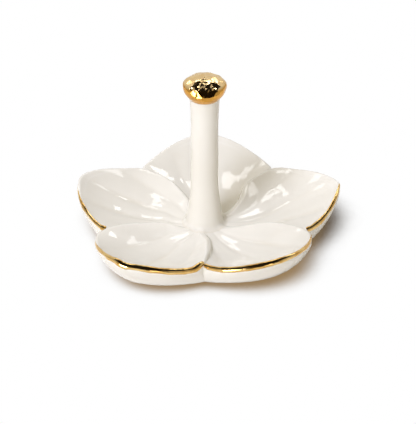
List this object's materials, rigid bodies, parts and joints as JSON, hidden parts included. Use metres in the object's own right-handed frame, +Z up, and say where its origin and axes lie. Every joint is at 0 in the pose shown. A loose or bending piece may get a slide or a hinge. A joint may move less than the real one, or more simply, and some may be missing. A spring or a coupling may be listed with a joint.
{
  "type": "ceramic ring holder dish",
  "caption": "Glazed ceramic ring holder: a shallow flower-shaped dish of lapped petals with gold rims, and a slim flared post in the middle with a small hammered gold knob",
  "frame": {"origin": "Centre of the bounding box in plan, at the height of the surface that the foot ring stands on. The post's axis is 1.6 mm towards -X and 3 mm towards -Y of it.", "axes": "+Z up along the post. The back petal points along +Y, away from the viewer of the picture, and +X is to the viewer's right."},
  "size_m": [0.1035, 0.1038, 0.0698],
  "materials": {
    "glaze": "glossy warm ivory glaze",
    "bare_clay": "unglazed clay, ground flat",
    "rim_gold": "bright gold lustre fired over the glaze",
    "knob_gold": "bright gold lustre over a hammered ceramic knob"
  },
  "bodies": {
    "root": {"petal_front_right": "glaze", "petal_right": "glaze", "petal_back": "glaze", "petal_left": "glaze", "petal_front_left": "glaze", "gold_rim_front_right": "rim_gold", "gold_rim_right": "rim_gold", "gold_rim_back": "rim_gold", "gold_rim_left": "rim_gold", "gold_rim_front_left": "rim_gold", "hub": "glaze", "foot_ring": "bare_clay", "post": "glaze", "knob": "knob_gold"}
  },
  "joints": []
}
